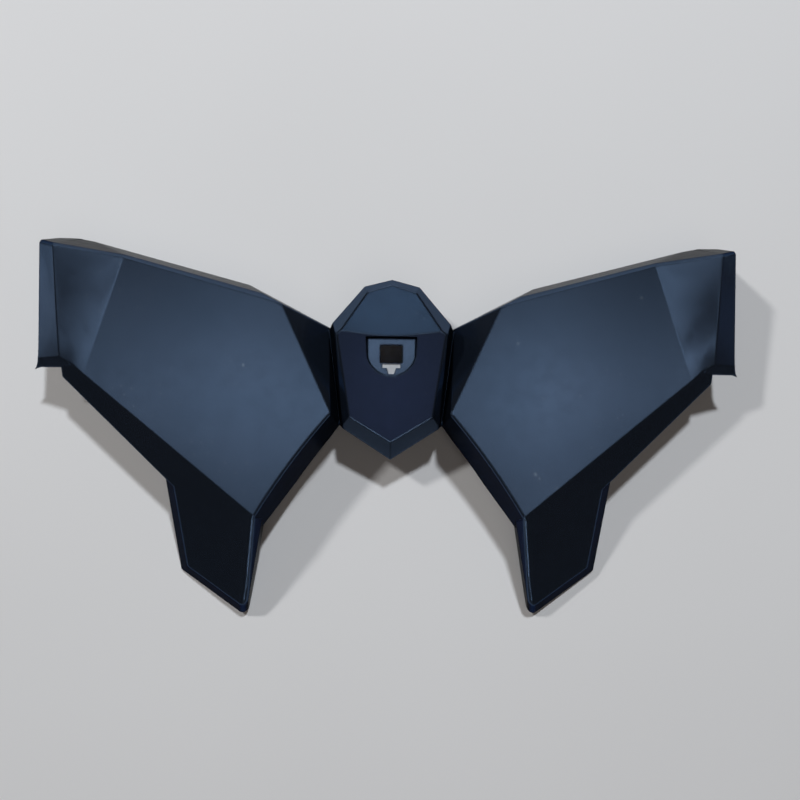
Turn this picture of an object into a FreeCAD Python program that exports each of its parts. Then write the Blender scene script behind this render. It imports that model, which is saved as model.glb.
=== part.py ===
import FreeCAD, Part
import os
from FreeCAD import Vector as V

os.makedirs("parts", exist_ok=True)

# ---------------------------------------------------------------- dimensions
# All in mm.  X right, Y towards the top edge, Z out of the show face.
# Corner points are for the right half; the left half is the mirror image.
WALL = 2.5                # moulded wall thickness
MAIN_Z0, MAIN_SLOPE = 40.0, -0.036      # wing face height, fall per mm outward

P1 = (131.6, 68.2)        # wing face: top outer corner (start of the twist crease)
P2 = (53.7, 46.6)         # wing face: top inner corner
P3 = (29.4, -7.0)         # wing face: inner corner, beside the shield
P4 = (66.2, -57.7)        # wing face: low corner, above the leg
P5 = (157.6, 16.9)        # wing face: outer low corner
P5C = (150.5, 11.1)       # low end of the twist crease
A_PT = (162.4, 72.2, 44.8)    # raised ridge of the wing end, top
B_PT = (162.2, 19.4, 34.6)    # raised ridge of the wing end, bottom
C_PT = (170.8, 74.5, 39.0)    # wing end, top corner
E_PT = (174.2, 18.8, 29.4)    # wing end, low corner
LOW_SLOPE = 0.60          # fall of the lower facet and leg
INNER_WALL_SLOPE = 3.4    # wall below the inner low edge
INNER_BOW = 1.3           # the inner low edge bows inward by this much
TOP_Y0, TOP_M, TOP_FLARE = 39.65, 0.265, 0.135   # top wall: Y = Y0 + M*X - FLARE*Z
TOP_BEVEL = 1.7           # 45 degree band along the top edge
N_PT = (31.6, 36.0, 25.0)     # groove bottom, top end
K_PT = (25.8, -12.7, 20.5)    # groove bottom, low end
R0 = (167.3, 14.6)        # lower rim, outer end
R1 = (113.2, -39.2)       # lower rim, corner above the leg
L1 = (108.9, -89.9)       # leg, outer low corner
L2 = (74.2, -114.2)       # leg, tip
M_PT = (64.6, -65.1)      # leg, top of the inner edge
W1 = (164.6, 82.6, 0.0)   # outer bend of the top wall's foot
W2 = (74.2, 59.1, 0.0)    # inner bend of the top wall's foot
SPIKE = (177.1, 13.4)     # pointed lip at the wing end

R_TOP = 0.7               # rounding of the top band's edges
R_EDGE = 1.4              # rounding of the other show edges
R_RIM = 1.2               # rounding of the rim
LEG_BAND, LEG_BAND_SLOPE = 5.2, 1.5     # falling band around the leg's outer border

# shield
RIDGE_Y, RIDGE_Z = 30.5, 45.5
LOW_FACE_SLOPE = 0.279    # lower face falls towards the tip
UP_FACE_SLOPE = 0.130     # upper face falls towards the apex
LOW_FACE_ROOF = 0.05      # fall to each side of the centre ridge
S_UP_IN = (12.0, 52.2)    # upper face corner beside the apex
S_APEX_IN = (0.0, 56.0)   # upper face apex
S_RIDGE_END = (24.4, 33.9)
S_WIDE = (26.1, 29.0)     # widest point of the lower face
S_LOW_IN = (20.7, -8.4)   # lower face, low side corner
S_TIP_IN = (0.0, -21.0)   # lower face tip
S_TIP = (0.0, -30.4, 23.0)    # outer tip
S_APEX = (0.0, 58.9)      # plan outline of the shield above the ridge
S_UP = (13.5, 55.4)
S_JOIN = (30.8, 35.2)
S_BAND = (25.9, 10.0, 36.2)   # point under the side band

# recessed pad with its hole
PAD_HALF_W, PAD_TOP_Y, PAD_SIDE_Y, PAD_LOW_Y = 11.4, 29.8, 21.0, 11.8
PAD_DEPTH = 4.6           # at the top; runs out at the low arc
PAD_DRAFT = 0.2           # the recess widens by this much per mm upward
HOLE_HALF_W, HOLE_Y0, HOLE_Y1 = 5.5, 18.0, 26.8
MARK_DEPTH = 0.4
MARK_BAR = (4.4, 15.7, 17.6)          # half width, low, high
MARK_STEM = (2.3, 1.3, 12.7)          # half width top, half width low, low end

# back side
BOSS_X, BOSS_Y0, BOSS_Y1 = 100.0, -15.0, 40.0
BOSS_R, BOSS_HOLE_R, BOSS_END_Z, BOSS_HOLE_DEPTH = 4.5, 1.7, 6.0, 18.0
RIB_T, RIB_END_Z = 2.0, 16.0

# ---------------------------------------------------------------- helpers
def main_z(x):
    return MAIN_Z0 + MAIN_SLOPE * x

def on_main(p):
    return V(p[0], p[1], main_z(p[0]))

def plane3(a, b, c, up=True):
    """Point and outward normal of the plane through three points."""
    a, b, c = V(*a), V(*b), V(*c)
    n = (b - a).cross(c - a)
    n.normalize()
    if (n.z < 0) == up:
        n = n * -1
    return a, n

def slope_plane(a, b, out, slope):
    """Plane through line a-b that falls by slope along the plan side `out`."""
    a, b = V(*a), V(*b)
    d = V(b.x - a.x, b.y - a.y, 0)
    d.normalize()
    side = V(-d.y, d.x, 0)
    if side.dot(V(out[0], out[1], 0)) < 0:
        side = side * -1
    return plane3(a, b, a + side * 10 + V(0, 0, -10 * slope))

def wall_plane(a, b, out):
    """Vertical plane through the plan line a-b, facing `out`."""
    d = V(b[0] - a[0], b[1] - a[1], 0)
    d.normalize()
    side = V(-d.y, d.x, 0)
    if side.dot(V(out[0], out[1], 0)) < 0:
        side = side * -1
    return V(a[0], a[1], 0), side

def half_space(p, n):
    big = 1200.0
    box = Part.makeBox(big, big, big, V(-big / 2, -big / 2, 0))
    box.Placement = FreeCAD.Placement(p, FreeCAD.Rotation(V(0, 0, 1), n))
    return box

def trimmed(body, planes, t=0.0):
    for p, n in planes.values():
        body = body.cut(half_space(p - n * t, n))
    return body

def convex(planes, t=0.0, bottom=-4.0, fixed=None):
    """Solid inside all planes, each one moved inward by t; the fixed ones stay."""
    body = Part.makeBox(600, 600, 140, V(-300, -300, bottom))
    body = trimmed(body, planes, t)
    if fixed:
        body = trimmed(body, fixed)
    return body.removeSplitter()

def edges_between(body, planes, pairs):
    """Edges shared by the two named faces of each pair."""
    def name_of(face):
        u0, u1, v0, v1 = face.ParameterRange
        n = face.normalAt((u0 + u1) / 2, (v0 + v1) / 2)
        if "BSpline" in face.Surface.TypeId:
            return "tri" if abs(face.CenterOfMass.x) < A_PT[0] else "strip"
        if "Cylinder" in face.Surface.TypeId and face.Surface.Radius > 200:
            return "il"
        c = face.CenterOfMass
        for k, (p, m) in planes.items():
            if n.dot(m) > 0.99999 and abs((c - p).dot(m)) < 1e-3:
                return k
        return None
    wanted = {frozenset(q) for q in pairs}
    found = []
    for e in body.Edges:
        names = frozenset(name_of(f) for f in body.ancestorsOfType(e, Part.Face))
        if names in wanted:
            found.append(e)
    return found

def rounded(body, planes, groups):
    for r, pairs in groups:
        edges = edges_between(body, planes, pairs)
        if not edges:
            print("no edge for", pairs)
            continue
        try:
            new = body.makeFillet(r, edges)
            if new.isValid() and new.Volume > 0.8 * body.Volume:
                body = new
                continue
        except Exception as err:
            print("group kept sharp at first:", r, err)
        for q in pairs:
            for k in range(len(edges_between(body, planes, [q]))):
                left = edges_between(body, planes, [q])
                if not left:
                    break
                for size in (r, r * 0.6):
                    try:
                        new = body.makeFillet(size, [left[min(k, len(left) - 1)]])
                        if new.isValid() and new.Volume > 0.8 * body.Volume:
                            body = new
                            break
                    except Exception:
                        print("sharp:", q, size)
    return body

def mirror(s):
    return s.mirror(V(0, 0, 0), V(1, 0, 0))

# ---------------------------------------------------------------- wing planes
main = (V(0, 0, MAIN_Z0), V(-MAIN_SLOPE, 0, 1).normalize())
low2 = slope_plane(on_main(P5C), on_main(P4), (1, -1), LOW_SLOPE)

def low2_z(x, y):
    p, n = low2
    return p.z - (n.x * (x - p.x) + n.y * (y - p.y)) / n.z

def bevel_line(a, b, out):
    """The line a-b moved out and down along the 45 degree band."""
    d = V(b[0] - a[0], b[1] - a[1], 0).normalize()
    side = V(-d.y, d.x, 0)
    if side.dot(V(out[0], out[1], 0)) < 0:
        side = side * -1
    off = side * TOP_BEVEL - V(0, 0, TOP_BEVEL)
    return V(*a) + off, V(*b) + off

top = (V(0, TOP_Y0, 0), V(-TOP_M, 1, TOP_FLARE).normalize())
top_b = slope_plane(on_main(P2), on_main(P1), (0, 1), 1.0)
tri_b = slope_plane(on_main(P1), A_PT, (0, 1), 1.0)
strip_b = slope_plane(A_PT, C_PT, (0, 1), 1.0)
q1, q2 = bevel_line(on_main(P1), V(*A_PT), (0, 1))
q3, q4 = bevel_line(V(*A_PT), V(*C_PT), (0, 1))
tri_w = plane3(q1, q2, W1)
strip_w = plane3(q3, q4, (W1[0] + 3.0, W1[1] + 0.4, 0))
end = wall_plane(C_PT, E_PT, (1, 0))
low1 = plane3(E_PT, B_PT, (R0[0], R0[1], low2_z(*R0)))
crease = wall_plane(P1, P5C, (1, 0))
top_in = plane3(on_main(P2), N_PT, W2)
in1 = plane3(on_main(P2), on_main(P3), N_PT)
in2 = plane3(on_main(P3), N_PT, K_PT)
il = slope_plane(on_main(P3), on_main(P4), (-1, -1), INNER_WALL_SLOPE)
rim_low = wall_plane(R0, R1, (1, -1))
rim_in = wall_plane((K_PT[0], K_PT[1]), M_PT, (-1, -1))
inner_stop = (V(8, 0, 0), V(-1, 0, 0))

plate = {"main": main, "top": top, "top_b": top_b, "top_in": top_in, "in1": in1, "in2": in2,
         "low2": low2, "rim_low": rim_low, "rim_in": rim_in, "inner_stop": inner_stop}
twist = {"tri_b": tri_b, "tri_w": tri_w}
rim_end = (V(0, 14.4, 0), V(0, -1, 0))
end_planes = {"strip_b": strip_b, "strip_w": strip_w, "end": end, "low1": low1, "rim_end": rim_end}

def twisted(drop, a0, a1, b0, b1):
    """Solid below the twisted facet between the lines a0-a1 and b0-b1."""
    a0, a1, b0, b1 = V(*a0), V(*a1), V(*b0), V(*b1)
    low = V(0, 0, drop)
    e1 = Part.makeLine(a0 + (a1 - a0) * -0.25 - low, a0 + (a1 - a0) * 1.5 - low)
    e2 = Part.makeLine(b0 + (b1 - b0) * -0.25 - low, b0 + (b1 - b0) * 1.5 - low)
    return Part.makeRuledSurface(e1, e2).extrude(V(0, 0, -70))

def bow_cut(t):
    """Large cylinder that gives the inner low wall its slight bow."""
    a, b = on_main(P3), on_main(P4)
    p, n = il
    length = (b - a).Length
    radius = length * length / (8 * INNER_BOW)
    axis = (b - a).cross(n).normalize()
    mid = (a + b) * 0.5 + n * (radius - INNER_BOW)
    return Part.makeCylinder(radius + t, 240, mid - axis * 120, axis)

# leg
li = slope_plane((P4[0], P4[1], main_z(P4[0])), (L2[0] - 0.2, L2[1], low2_z(L2[0], L2[1])), (-1, -0.2), 3.4)
leg_out = wall_plane(R1, L1, (1, 0))
leg_end = wall_plane(L1, L2, (1, -1))
leg_in = wall_plane(M_PT, L2, (-1, 0))
d45 = V(P5C[0] - P4[0], P5C[1] - P4[1], 0).normalize()
side45 = V(d45.y, -d45.x, 0)
leg_stop = (V(P4[0], P4[1], 0) + side45 * 1.0, side45 * -1)
def band_plane(a, b, wall):
    inset = wall[1] * -LEG_BAND
    pa, pb = V(a[0], a[1], 0) + inset, V(b[0], b[1], 0) + inset
    pa.z, pb.z = low2_z(pa.x, pa.y), low2_z(pb.x, pb.y)
    return slope_plane(pa, pb, (wall[1].x, wall[1].y), LEG_BAND_SLOPE)

leg = {"low2": low2, "li": li, "leg_ob": band_plane(R1, L1, leg_out), "leg_eb": band_plane(L1, L2, leg_end),
       "leg_out": leg_out, "leg_end": leg_end, "leg_in": leg_in, "leg_stop": leg_stop}

def wing(t):
    bottom = -4.0 if t == 0 else -8.0
    floor = {"floor": (V(0, 0, bottom), V(0, 0, -1))}
    a = convex(plate, t, bottom, {"crease": crease}).cut(bow_cut(t))
    prism = trimmed(twisted(t * 1.06, on_main(P1), on_main(P5C), A_PT, B_PT), floor)
    # the foot of the wall stays in line with the plate's wall
    b = trimmed(prism, {"tri_b": tri_b, "tri_w": tri_w, "top": top}, t)
    # below the corner the rim follows two different pairs of planes
    def beyond(pl):
        return half_space(pl[0] - pl[1] * t, pl[1])
    first = beyond(low2).fuse(beyond(rim_low))
    second = beyond(low1).fuse([beyond(rim_end), half_space(V(157.0, 0, 0), V(-1, 0, 0))])
    b = b.cut(first.common(second))
    e = trimmed(trimmed(twisted(t * 1.25, A_PT, B_PT, C_PT, E_PT), floor), end_planes, t)
    w = a.fuse([b, e]).removeSplitter()
    print("wing blank", t, w.isValid(), len(w.Solids), round(w.Volume / 1000, 2))
    inner_leg = dict(leg)
    if t > 0:
        # the two hollows run into each other
        inner_leg["leg_stop"] = (leg_stop[0] - side45 * 4.0, leg_stop[1])
    c = convex(inner_leg, t, bottom)
    if t == 0:
        allp = dict(plate)
        allp.update(twist)
        allp.update(end_planes)
        w = rounded(w, allp, [
            (1.2, [("strip", "tri")]),
            (R_EDGE, [("main", "in1"), ("main", "il"), ("main", "low2"), ("low2", "il"), ("in2", "il")]),
            (R_TOP, [("main", "top_b"), ("tri", "tri_b"), ("strip", "strip_b")]),
            (R_TOP, [("top", "top_b"), ("tri_w", "tri_b"), ("strip_w", "strip_b")]),
            (1.0, [("in1", "top_in")]),
            (0.9, [("strip", "end")]),
            (0.9, [("strip", "low1"), ("tri", "low1"), ("tri", "low2")]),
            (R_RIM, [("low2", "rim_low")]),
        ])
        c = rounded(c, leg, [
            (4.0, [("leg_ob", "leg_eb")]),
            (3.0, [("leg_end", "leg_in"), ("leg_eb", "leg_in")]),
            (2.0, [("low2", "leg_ob"), ("low2", "leg_eb")]),
            (R_EDGE, [("low2", "li")]),
        ])
    return w.fuse(c).removeSplitter()

# ---------------------------------------------------------------- shield planes
def lo_z(x, y):
    return RIDGE_Z + LOW_FACE_SLOPE * (y - RIDGE_Y) - LOW_FACE_ROOF * abs(x)

def up_z(x, y):
    return RIDGE_Z - UP_FACE_SLOPE * (y - RIDGE_Y)

def at_lo(p):
    return V(p[0], p[1], lo_z(*p))

def at_up(p):
    return V(p[0], p[1], up_z(*p))

def flip(pl):
    p, n = pl
    return V(-p.x, p.y, p.z), V(-n.x, n.y, n.z)

sh = {
    "up": plane3(at_up((0, 30.5)), at_up((10, 30.5)), at_up((0, 50))),
    "lo": plane3(at_lo((0, 30)), at_lo((10, 30)), at_lo((0, 0))),
    "sb": slope_plane(at_lo(S_WIDE), at_lo(S_LOW_IN), (1, 0), 1.0),
    "ss": plane3(S_BAND, N_PT, K_PT),
    "ub": slope_plane(at_up(S_UP_IN), at_up(S_RIDGE_END), (1, 0.5), 1.0),
    "tb": slope_plane(at_up(S_APEX_IN), at_up(S_UP_IN), (0.2, 1), 1.0),
    "us": wall_plane(S_UP, S_JOIN, (1, 0.5)),
    "ts": wall_plane(S_APEX, S_UP, (0.2, 1)),
    "bb": plane3(at_lo(S_LOW_IN), at_lo(S_TIP_IN), S_TIP),
    "bw": wall_plane((K_PT[0] + 0.6, K_PT[1] - 0.4), (S_TIP[0], S_TIP[1]), (1, -1)),
}
half_planes = dict(sh)
half_planes["mid"] = (V(0, 0, 0), V(-1, 0, 0))
shield_planes = dict(sh)
for k, pl in sh.items():
    if k != "up":
        shield_planes[k + "_m"] = flip(pl)

def shield(t):
    if t > 0:
        return convex(shield_planes, t, -8.0)
    s = convex(half_planes, 0.0, -4.0)
    s = rounded(s, half_planes, [
        (1.0, [("up", "lo"), ("up", "ub"), ("up", "tb"), ("lo", "sb"), ("lo", "ub"), ("ub", "tb"), ("sb", "ub")]),
        (1.8, [("lo", "bb")]),
        (1.0, [("ub", "us"), ("tb", "ts"), ("us", "ts"), ("sb", "ss"), ("sb", "bb")]),
        (1.0, [("bb", "bw")]),
    ])
    return s.fuse(mirror(s)).removeSplitter()

# ---------------------------------------------------------------- body
w_out, w_in = wing(0.0), wing(WALL)
s_out, s_in = shield(0.0), shield(WALL)
print("wing", w_out.isValid(), len(w_out.Solids), "shield", s_out.isValid(), len(s_out.Solids))

# pointed lip at the wing end
lip_k = (C_PT[1] - 22.5) / (C_PT[1] - E_PT[1])
lip_top = V(*C_PT) + (V(*E_PT) - V(*C_PT)) * lip_k
end_x = lip_top.x
spike = Part.Face(Part.Wire([
    Part.makeLine(V(166.0, 17.5, 22), V(end_x - 2.0, 22.5, 22)),
    Part.makeLine(V(end_x - 2.0, 22.5, 22), V(end_x, 22.5, 22)),
    Part.Arc(V(end_x, 22.5, 22), V(174.7, 17.3, 22), V(SPIKE[0], SPIKE[1], 22)).toShape(),
    Part.Arc(V(SPIKE[0], SPIKE[1], 22), V(172.6, 14.7, 22), V(167.3, 14.5, 22)).toShape(),
    Part.makeLine(V(167.3, 14.5, 22), V(166.0, 17.5, 22)),
])).extrude(V(0, 0, 20))
spike = spike.cut(half_space(*low1)).cut(half_space(*plane3(E_PT, B_PT, lip_top)))

outer = w_out.fuse([mirror(w_out), s_out, spike, mirror(spike)]).removeSplitter()
inner = w_in.fuse([mirror(w_in), s_in])
print("outer", outer.isValid(), len(outer.Solids), "inner", inner.isValid())
body = outer.cut(inner)

# recessed pad
def d_face(grow, z):
    w, yt, ys, yl = PAD_HALF_W + grow, PAD_TOP_Y + grow, PAD_SIDE_Y, PAD_LOW_Y - grow
    return Part.Face(Part.Wire([
        Part.makeLine(V(-w, ys, z), V(-w, yt, z)),
        Part.makeLine(V(-w, yt, z), V(w, yt, z)),
        Part.makeLine(V(w, yt, z), V(w, ys, z)),
        Part.Arc(V(w, ys, z), V(0, yl, z), V(-w, ys, z)).toShape(),
    ]))

pad_z0 = lo_z(0, PAD_LOW_Y) - 0.5
pad_z1 = lo_z(0, PAD_TOP_Y) - PAD_DEPTH
pad_plane = plane3((0, PAD_LOW_Y, pad_z0), (10, PAD_LOW_Y, pad_z0), (0, PAD_TOP_Y, pad_z1))
back_plane = (pad_plane[0] - pad_plane[1] * WALL, pad_plane[1] * -1)
backing = d_face(WALL, 20).extrude(V(0, 0, 40)).cut(half_space(*back_plane)).common(outer)
body = body.fuse(backing)
low_wire, high_wire = d_face(-10 * PAD_DRAFT, pad_z0 - 10).OuterWire, d_face(10 * PAD_DRAFT, pad_z0 + 10).OuterWire
recess = Part.makeLoft([low_wire, high_wire], True, True).cut(half_space(pad_plane[0], pad_plane[1] * -1))
print("recess", recess.isValid(), round(recess.Volume, 1))
body = body.cut(recess)

hole = Part.makeBox(2 * HOLE_HALF_W, HOLE_Y1 - HOLE_Y0, 80, V(-HOLE_HALF_W, HOLE_Y0, 0))
hole = hole.makeFillet(0.6, [e for e in hole.Edges if abs(e.tangentAt(e.FirstParameter).z) > 0.9])
body = body.cut(hole)

# shallow index mark below the hole
bw, b0, b1 = MARK_BAR
sw, sl, s0 = MARK_STEM
mark = Part.Face(Part.makePolygon([V(-bw, b1, 20), V(bw, b1, 20), V(bw, b0, 20), V(sw, b0, 20), V(sl, s0, 20),
                                   V(-sl, s0, 20), V(-sw, b0, 20), V(-bw, b0, 20), V(-bw, b1, 20)])).extrude(V(0, 0, 60))
mark = mark.cut(half_space(pad_plane[0] - pad_plane[1] * MARK_DEPTH, pad_plane[1] * -1))
body = body.cut(mark)

# trim the walls along the rim
def trim(profile, y0, y1):
    pts = [V(x, y0, z) for x, z in profile]
    pts = pts + [V(-x, y0, z) for x, z in reversed(profile)]
    pts += [V(-220, y0, -40), V(220, y0, -40), pts[0]]
    return Part.Face(Part.makePolygon(pts)).extrude(V(0, y1 - y0, 0))

body = body.cut(trim([(220, 24), (168, 24), (116, 19), (109.5, 0), (72, 0), (65, 13), (26, 15)], -150, 45))
body = body.cut(trim([(220, 27), (174.6, 27), (164.2, 0), (74.4, 0), (33, 13)], 45, 120))
for x in (168, -218):
    body = body.cut(Part.makeBox(50, 30, 64, V(x, 40, -40)))

# screw bosses and stiffening ribs behind the wings
def on_back(shape):
    return shape.common(outer)

adds, holes = [], []
for y in (BOSS_Y0, BOSS_Y1):
    adds.append(on_back(Part.makeCylinder(BOSS_R, 60, V(BOSS_X, y, BOSS_END_Z))))
    holes.append(Part.makeCylinder(BOSS_HOLE_R, BOSS_HOLE_DEPTH + 10, V(BOSS_X, y, BOSS_END_Z - 10)))
adds.append(on_back(Part.makeBox(RIB_T, BOSS_Y1 - BOSS_Y0, 60, V(BOSS_X - RIB_T / 2, BOSS_Y0, RIB_END_Z))))
for y in (BOSS_Y0, BOSS_Y1):
    adds.append(on_back(Part.makeBox(60, RIB_T, 60, V(BOSS_X - 30, y - RIB_T / 2, RIB_END_Z + 6))))
for a in list(adds):
    adds.append(mirror(a))
for h in list(holes):
    holes.append(mirror(h))
body = body.fuse(adds).cut(holes[0].multiFuse(holes[1:])).removeSplitter()

print("valid", body.isValid(), "solids", len(body.Solids), "vol cm3", body.Volume / 1000)
if len(body.Solids) > 1:
    print([round(s.Volume, 2) for s in body.Solids])
solid = max(body.Solids, key=lambda s: s.Volume)
bb = solid.optimalBoundingBox(False)
print("box", bb.XMin, bb.XMax, bb.YMin, bb.YMax, bb.ZMin, bb.ZMax)
# origin at the middle of the footprint, floor at zero
solid.translate(V(-(bb.XMin + bb.XMax) / 2, -(bb.YMin + bb.YMax) / 2, -bb.ZMin))
solid.exportStep("parts/glovebox_cover.step")
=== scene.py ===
import bmesh
import bpy
from mathutils import Matrix, Vector

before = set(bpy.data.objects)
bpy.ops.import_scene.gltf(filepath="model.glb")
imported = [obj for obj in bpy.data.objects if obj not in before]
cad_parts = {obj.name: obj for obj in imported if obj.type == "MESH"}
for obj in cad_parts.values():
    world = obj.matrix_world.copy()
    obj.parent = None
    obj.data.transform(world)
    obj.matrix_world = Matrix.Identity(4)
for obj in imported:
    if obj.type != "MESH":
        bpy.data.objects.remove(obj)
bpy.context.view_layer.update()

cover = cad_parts["glovebox_cover"]


# ------------------------------------------------------------------ node helpers
def new_material(name):
    m = bpy.data.materials.new(name)
    m.use_nodes = True
    nt = m.node_tree
    bsdf = next(n for n in nt.nodes if n.type == "BSDF_PRINCIPLED")
    return m, nt, bsdf


def add(nt, kind, **inputs):
    n = nt.nodes.new(kind)
    for k, v in inputs.items():
        n.inputs[k].default_value = v
    return n


def ramp(nt, fac, stops):
    n = nt.nodes.new("ShaderNodeValToRGB")
    cr = n.color_ramp
    while len(cr.elements) < len(stops):
        cr.elements.new(0.5)
    for e, (p, c) in zip(cr.elements, stops):
        e.position = p
        e.color = c if len(c) == 4 else (*c, 1)
    nt.links.new(fac, n.inputs[0])
    return n.outputs[0]


def calc(nt, op, a, b=None):
    n = nt.nodes.new("ShaderNodeMath")
    n.operation = op
    for i, v in enumerate((a, b)):
        if v is None:
            continue
        if isinstance(v, (int, float)):
            n.inputs[i].default_value = v
        else:
            nt.links.new(v, n.inputs[i])
    return n.outputs[0]


def fade(nt, value, lo, hi, out_lo=0.0, out_hi=1.0):
    """Smooth change from out_lo to out_hi while value goes from lo to hi."""
    n = nt.nodes.new("ShaderNodeMapRange")
    n.interpolation_type = "SMOOTHSTEP"
    for k, v in (("From Min", lo), ("From Max", hi), ("To Min", out_lo), ("To Max", out_hi)):
        n.inputs[k].default_value = v
    nt.links.new(value, n.inputs["Value"])
    return n.outputs["Result"]


def blend(nt, fac, a, color):
    n = nt.nodes.new("ShaderNodeMix")
    n.data_type = "RGBA"
    nt.links.new(fac, n.inputs[0])
    nt.links.new(a, n.inputs[6])
    n.inputs[7].default_value = (*color, 1)
    return n.outputs[2]


# ------------------------------------------------------------------ cover paint
# dust specks on the wing faces: place and radius in metres
SPECKS = [((0.06235, 0.04358, 0.0378), 0.0007), ((0.12451, 0.06697, 0.0355), 0.0007),
          ((0.14684, 0.05481, 0.0375), 0.0008), ((-0.0724, 0.03109, 0.0374), 0.0006),
          ((0.0721, -0.0215, 0.0374), 0.0009), ((0.0739, -0.0232, 0.0373), 0.0006)]


def cover_paint():
    m, nt, b = new_material("satin_blue_paint")
    lk = nt.links.new
    tc = nt.nodes.new("ShaderNodeTexCoord")
    pos = tc.outputs["Object"]
    big = add(nt, "ShaderNodeTexNoise", Scale=22.0, Detail=3.0, Roughness=0.55)
    mottle = add(nt, "ShaderNodeTexNoise", Scale=150.0, Detail=3.0, Roughness=0.6)
    flake = add(nt, "ShaderNodeTexNoise", Scale=2400.0, Detail=2.0, Roughness=0.6)
    peel = add(nt, "ShaderNodeTexNoise", Scale=420.0, Detail=2.0, Roughness=0.5)
    grains = add(nt, "ShaderNodeTexVoronoi", Scale=210.0, Randomness=1.0)
    for n in (big, mottle, flake, peel, grains):
        lk(pos, n.inputs["Vector"])
    xyz = nt.nodes.new("ShaderNodeSeparateXYZ")
    lk(pos, xyz.inputs[0])
    x, y, z = xyz.outputs
    ax = calc(nt, "ABSOLUTE", x)

    # pale T-shaped patch directly under the square hole, only above 38 mm height
    bar = calc(nt, "MULTIPLY", fade(nt, ax, 0.0042, 0.0046, 1, 0),
               calc(nt, "MULTIPLY", fade(nt, y, 0.0303, 0.0306), fade(nt, y, 0.0323, 0.0326, 1, 0)))
    half = calc(nt, "ADD", calc(nt, "MULTIPLY", calc(nt, "SUBTRACT", y, 0.0274854), 0.333), 0.0013)
    stem = calc(nt, "MULTIPLY", fade(nt, calc(nt, "SUBTRACT", ax, half), -0.0002, 0.0002, 1, 0),
                calc(nt, "MULTIPLY", fade(nt, y, 0.0273, 0.0277), fade(nt, y, 0.0305, 0.0308, 1, 0)))
    fill = calc(nt, "MULTIPLY", calc(nt, "MAXIMUM", bar, stem), fade(nt, z, 0.0380, 0.0384))

    # dust: faint fine grains, and a few larger specks
    grain = calc(nt, "MULTIPLY", fade(nt, grains.outputs["Distance"], 0.05, 0.16, 1, 0),
                 fade(nt, big.outputs["Fac"], 0.42, 0.62, 0.0, 0.10))
    dust = grain
    for place, r in SPECKS:
        d = nt.nodes.new("ShaderNodeVectorMath")
        d.operation = "DISTANCE"
        lk(pos, d.inputs[0])
        d.inputs[1].default_value = place
        wob = calc(nt, "ADD", d.outputs["Value"], fade(nt, peel.outputs["Fac"], 0.3, 0.7, -0.0004, 0.0004))
        dust = calc(nt, "MAXIMUM", dust, fade(nt, wob, r * 0.4, r * 1.6, 0.16, 0.0))
    up = fade(nt, z, 0.030, 0.033)
    dust = calc(nt, "MULTIPLY", dust, up)

    base = ramp(nt, big.outputs["Fac"], [(0.3, (0.060, 0.088, 0.140)), (0.7, (0.068, 0.097, 0.153))])
    base = blend(nt, dust, base, (0.46, 0.50, 0.55))
    # the pale T-shaped patch gets a lighter mottled tone, more roughness and no metal
    pale_t_tone = ramp(nt, mottle.outputs["Fac"], [(0.3, (0.42, 0.45, 0.48)), (0.7, (0.56, 0.58, 0.61))])
    mix = nt.nodes.new("ShaderNodeMix")
    mix.data_type = "RGBA"
    lk(fill, mix.inputs[0])
    lk(base, mix.inputs[6])
    lk(pale_t_tone, mix.inputs[7])
    lk(mix.outputs[2], b.inputs["Base Color"])

    rough = ramp(nt, flake.outputs["Fac"], [(0.3, (0.195,) * 3), (0.7, (0.24,) * 3)])
    spread = calc(nt, "ADD", rough, fade(nt, mottle.outputs["Fac"], 0.35, 0.7, 0.0, 0.02))
    lk(calc(nt, "ADD", spread, calc(nt, "MULTIPLY", fill, 0.4)), b.inputs["Roughness"])
    lk(fade(nt, fill, 0.0, 1.0, 0.93, 0.0), b.inputs["Metallic"])
    b.inputs["Specular Tint"].default_value = (0.07, 0.064, 0.058, 1)
    b.inputs["Specular IOR Level"].default_value = 0.2
    bump = nt.nodes.new("ShaderNodeBump")
    bump.inputs["Strength"].default_value = 0.04
    bump.inputs["Distance"].default_value = 0.0001
    lk(peel.outputs["Fac"], bump.inputs["Height"])
    # moulded edges catch the light softly
    soft = nt.nodes.new("ShaderNodeBevel")
    soft.samples = 6
    soft.inputs["Radius"].default_value = 0.0011
    lk(soft.outputs["Normal"], bump.inputs["Normal"])
    lk(bump.outputs["Normal"], b.inputs["Normal"])
    return m


cover.data.materials.clear()
cover.data.materials.append(cover_paint())

# ------------------------------------------------------------------ floor
me = bpy.data.meshes.new("floor")
bm = bmesh.new()
bmesh.ops.create_grid(bm, x_segments=1, y_segments=1, size=4.0)
bm.to_mesh(me)
bm.free()
floor = bpy.data.objects.new("floor", me)
bpy.context.collection.objects.link(floor)
m, nt, b = new_material("pale_floor")
tc = nt.nodes.new("ShaderNodeTexCoord")
cloud = add(nt, "ShaderNodeTexNoise", Scale=3.0, Detail=2.0, Roughness=0.5)
nt.links.new(tc.outputs["Object"], cloud.inputs["Vector"])
nt.links.new(ramp(nt, cloud.outputs["Fac"], [(0.3, (0.785, 0.785, 0.785)), (0.7, (0.815, 0.815, 0.815))]),
             b.inputs["Base Color"])
b.inputs["Roughness"].default_value = 0.75
b.inputs["Specular IOR Level"].default_value = 0.2
me.materials.append(m)

# ------------------------------------------------------------------ lights
TARGET = Vector((0, 0.01, 0.03))


def softbox(name, direction, dist, size, power, color=(1, 1, 1)):
    """Round area light aimed at the part."""
    d = Vector(direction).normalized()
    l = bpy.data.lights.new(name, "AREA")
    l.shape = "DISK"
    l.size = size
    l.energy = power
    l.color = color
    o = bpy.data.objects.new(name, l)
    o.location = TARGET + d * dist
    o.rotation_euler = (-d).to_track_quat("-Z", "Y").to_euler()
    bpy.context.collection.objects.link(o)
    return o


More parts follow.
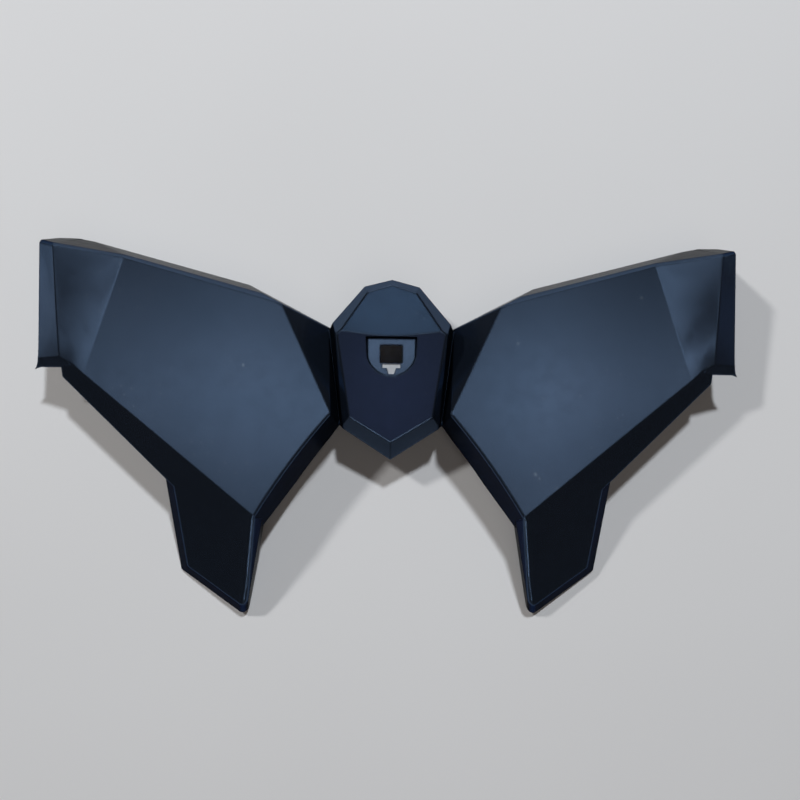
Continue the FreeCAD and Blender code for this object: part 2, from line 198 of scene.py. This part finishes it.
def panel(name, x, y, wide, deep, power, color=(1, 1, 1)):
    """Flat overhead panel that faces straight down."""
    l = bpy.data.lights.new(name, "AREA")
    l.shape = "RECTANGLE"
    l.size = wide
    l.size_y = deep
    l.energy = power
    l.color = color
    o = bpy.data.objects.new(name, l)
    o.location = (x, y, 1.53)
    bpy.context.collection.objects.link(o)
    return o


COOL = (0.80, 0.875, 0.92)
# the keys and the fill light the floor and its shadows; the panels only make the reflections
for key in (softbox("key_left", (-0.545, 0.46, 0.69), 2.2, 0.18, 15.7, (1.0, 0.995, 0.99)),
            softbox("key_top", (0.12, 0.585, 0.82), 2.4, 0.18, 32.0, (0.90, 0.945, 1.0)),
            softbox("fill", (0.1, -0.25, 0.96), 2.4, 1.6, 3.2, (1.0, 0.93, 0.86))):
    key.visible_glossy = False
ROWS = {0.21: (0.071, 0.040, 0.110, 0.0, 0.0, 0.0, 0.090, 0.035, 0.050),
        0.01: (0.104, 0.144, 0.213, 0.185, 0.300, 0.085, 0.264, 0.115, 0.145),
        -0.19: (0.0, 0.0, 0.081, 0.075, 0.012, 0.0, 0.091, 0.0, 0.0)}
panels = []
for row, powers in ROWS.items():
    for i, power in enumerate(powers):
        if power:
            panels.append(panel("over_%d_%d" % (round(100 * row), i), -0.8 + 0.2 * i, row, 0.2, 0.2,
                                1.05 * power, COOL))
panels.append(panel("back_row", 0.0, 0.61, 0.3, 0.2, 0.28, (0.64, 0.85, 1.0)))
panels.append(panel("front_row", 0.0, -0.89, 0.6, 0.4, 0.28, (0.58, 0.62, 1.0)))
panels.append(panel("low_right", 0.48, -0.29, 0.2, 0.2, 0.22, COOL))
panels.append(panel("low_left", -0.6, -0.46, 0.3, 0.3, 0.2, COOL))
panels.append(softbox("front_low_left", (-0.285, -0.836, 0.469), 1.6, 0.3, 1.25, COOL))
panels.append(softbox("front_low_right", (0.285, -0.836, 0.469), 1.6, 0.3, 1.25, COOL))
panels.append(softbox("side_left", (-0.961, 0.0, 0.276), 1.6, 0.55, 0.62, (0.9, 0.96, 1.0)))
panels.append(softbox("side_left_low", (-0.995, 0.05, 0.09), 1.6, 0.24, 0.16, (0.9, 0.96, 1.0)))
panels.append(softbox("side_right", (0.961, 0.0, 0.276), 1.6, 0.55, 0.12, (0.6, 0.7, 1.0)))
panels.append(softbox("back_low", (0.0, 0.92, 0.39), 2.4, 1.6, 8.0, COOL))
for o in panels:
    o.visible_diffuse = False

world = bpy.data.worlds.new("studio")
bpy.context.scene.world = world
world.use_nodes = True
bg = world.node_tree.nodes["Background"]
bg.inputs["Color"].default_value = (1.0, 0.80, 0.70, 1)
bg.inputs["Strength"].default_value = 0.04

# ------------------------------------------------------------------ camera
cam_data = bpy.data.cameras.new("camera")
cam_data.sensor_width = 36.0
cam_data.lens = 968.23 / 800 * 36.0
cam_data.shift_x = -29.72 / 800
cam_data.shift_y = -9.54 / 800
cam_data.clip_start = 0.02
cam = bpy.data.objects.new("camera", cam_data)
bpy.context.collection.objects.link(cam)
v = Vector((-0.0018, 0.0398, -0.0112))
rot = Matrix.Rotation(v.length, 3, v.normalized())
cam.matrix_world = Matrix.Translation((0.0000752, 0.0187110, 0.5140954)) @ rot.transposed().to_4x4()
bpy.context.scene.camera = cam
bpy.context.scene.view_settings.view_transform = "Standard"
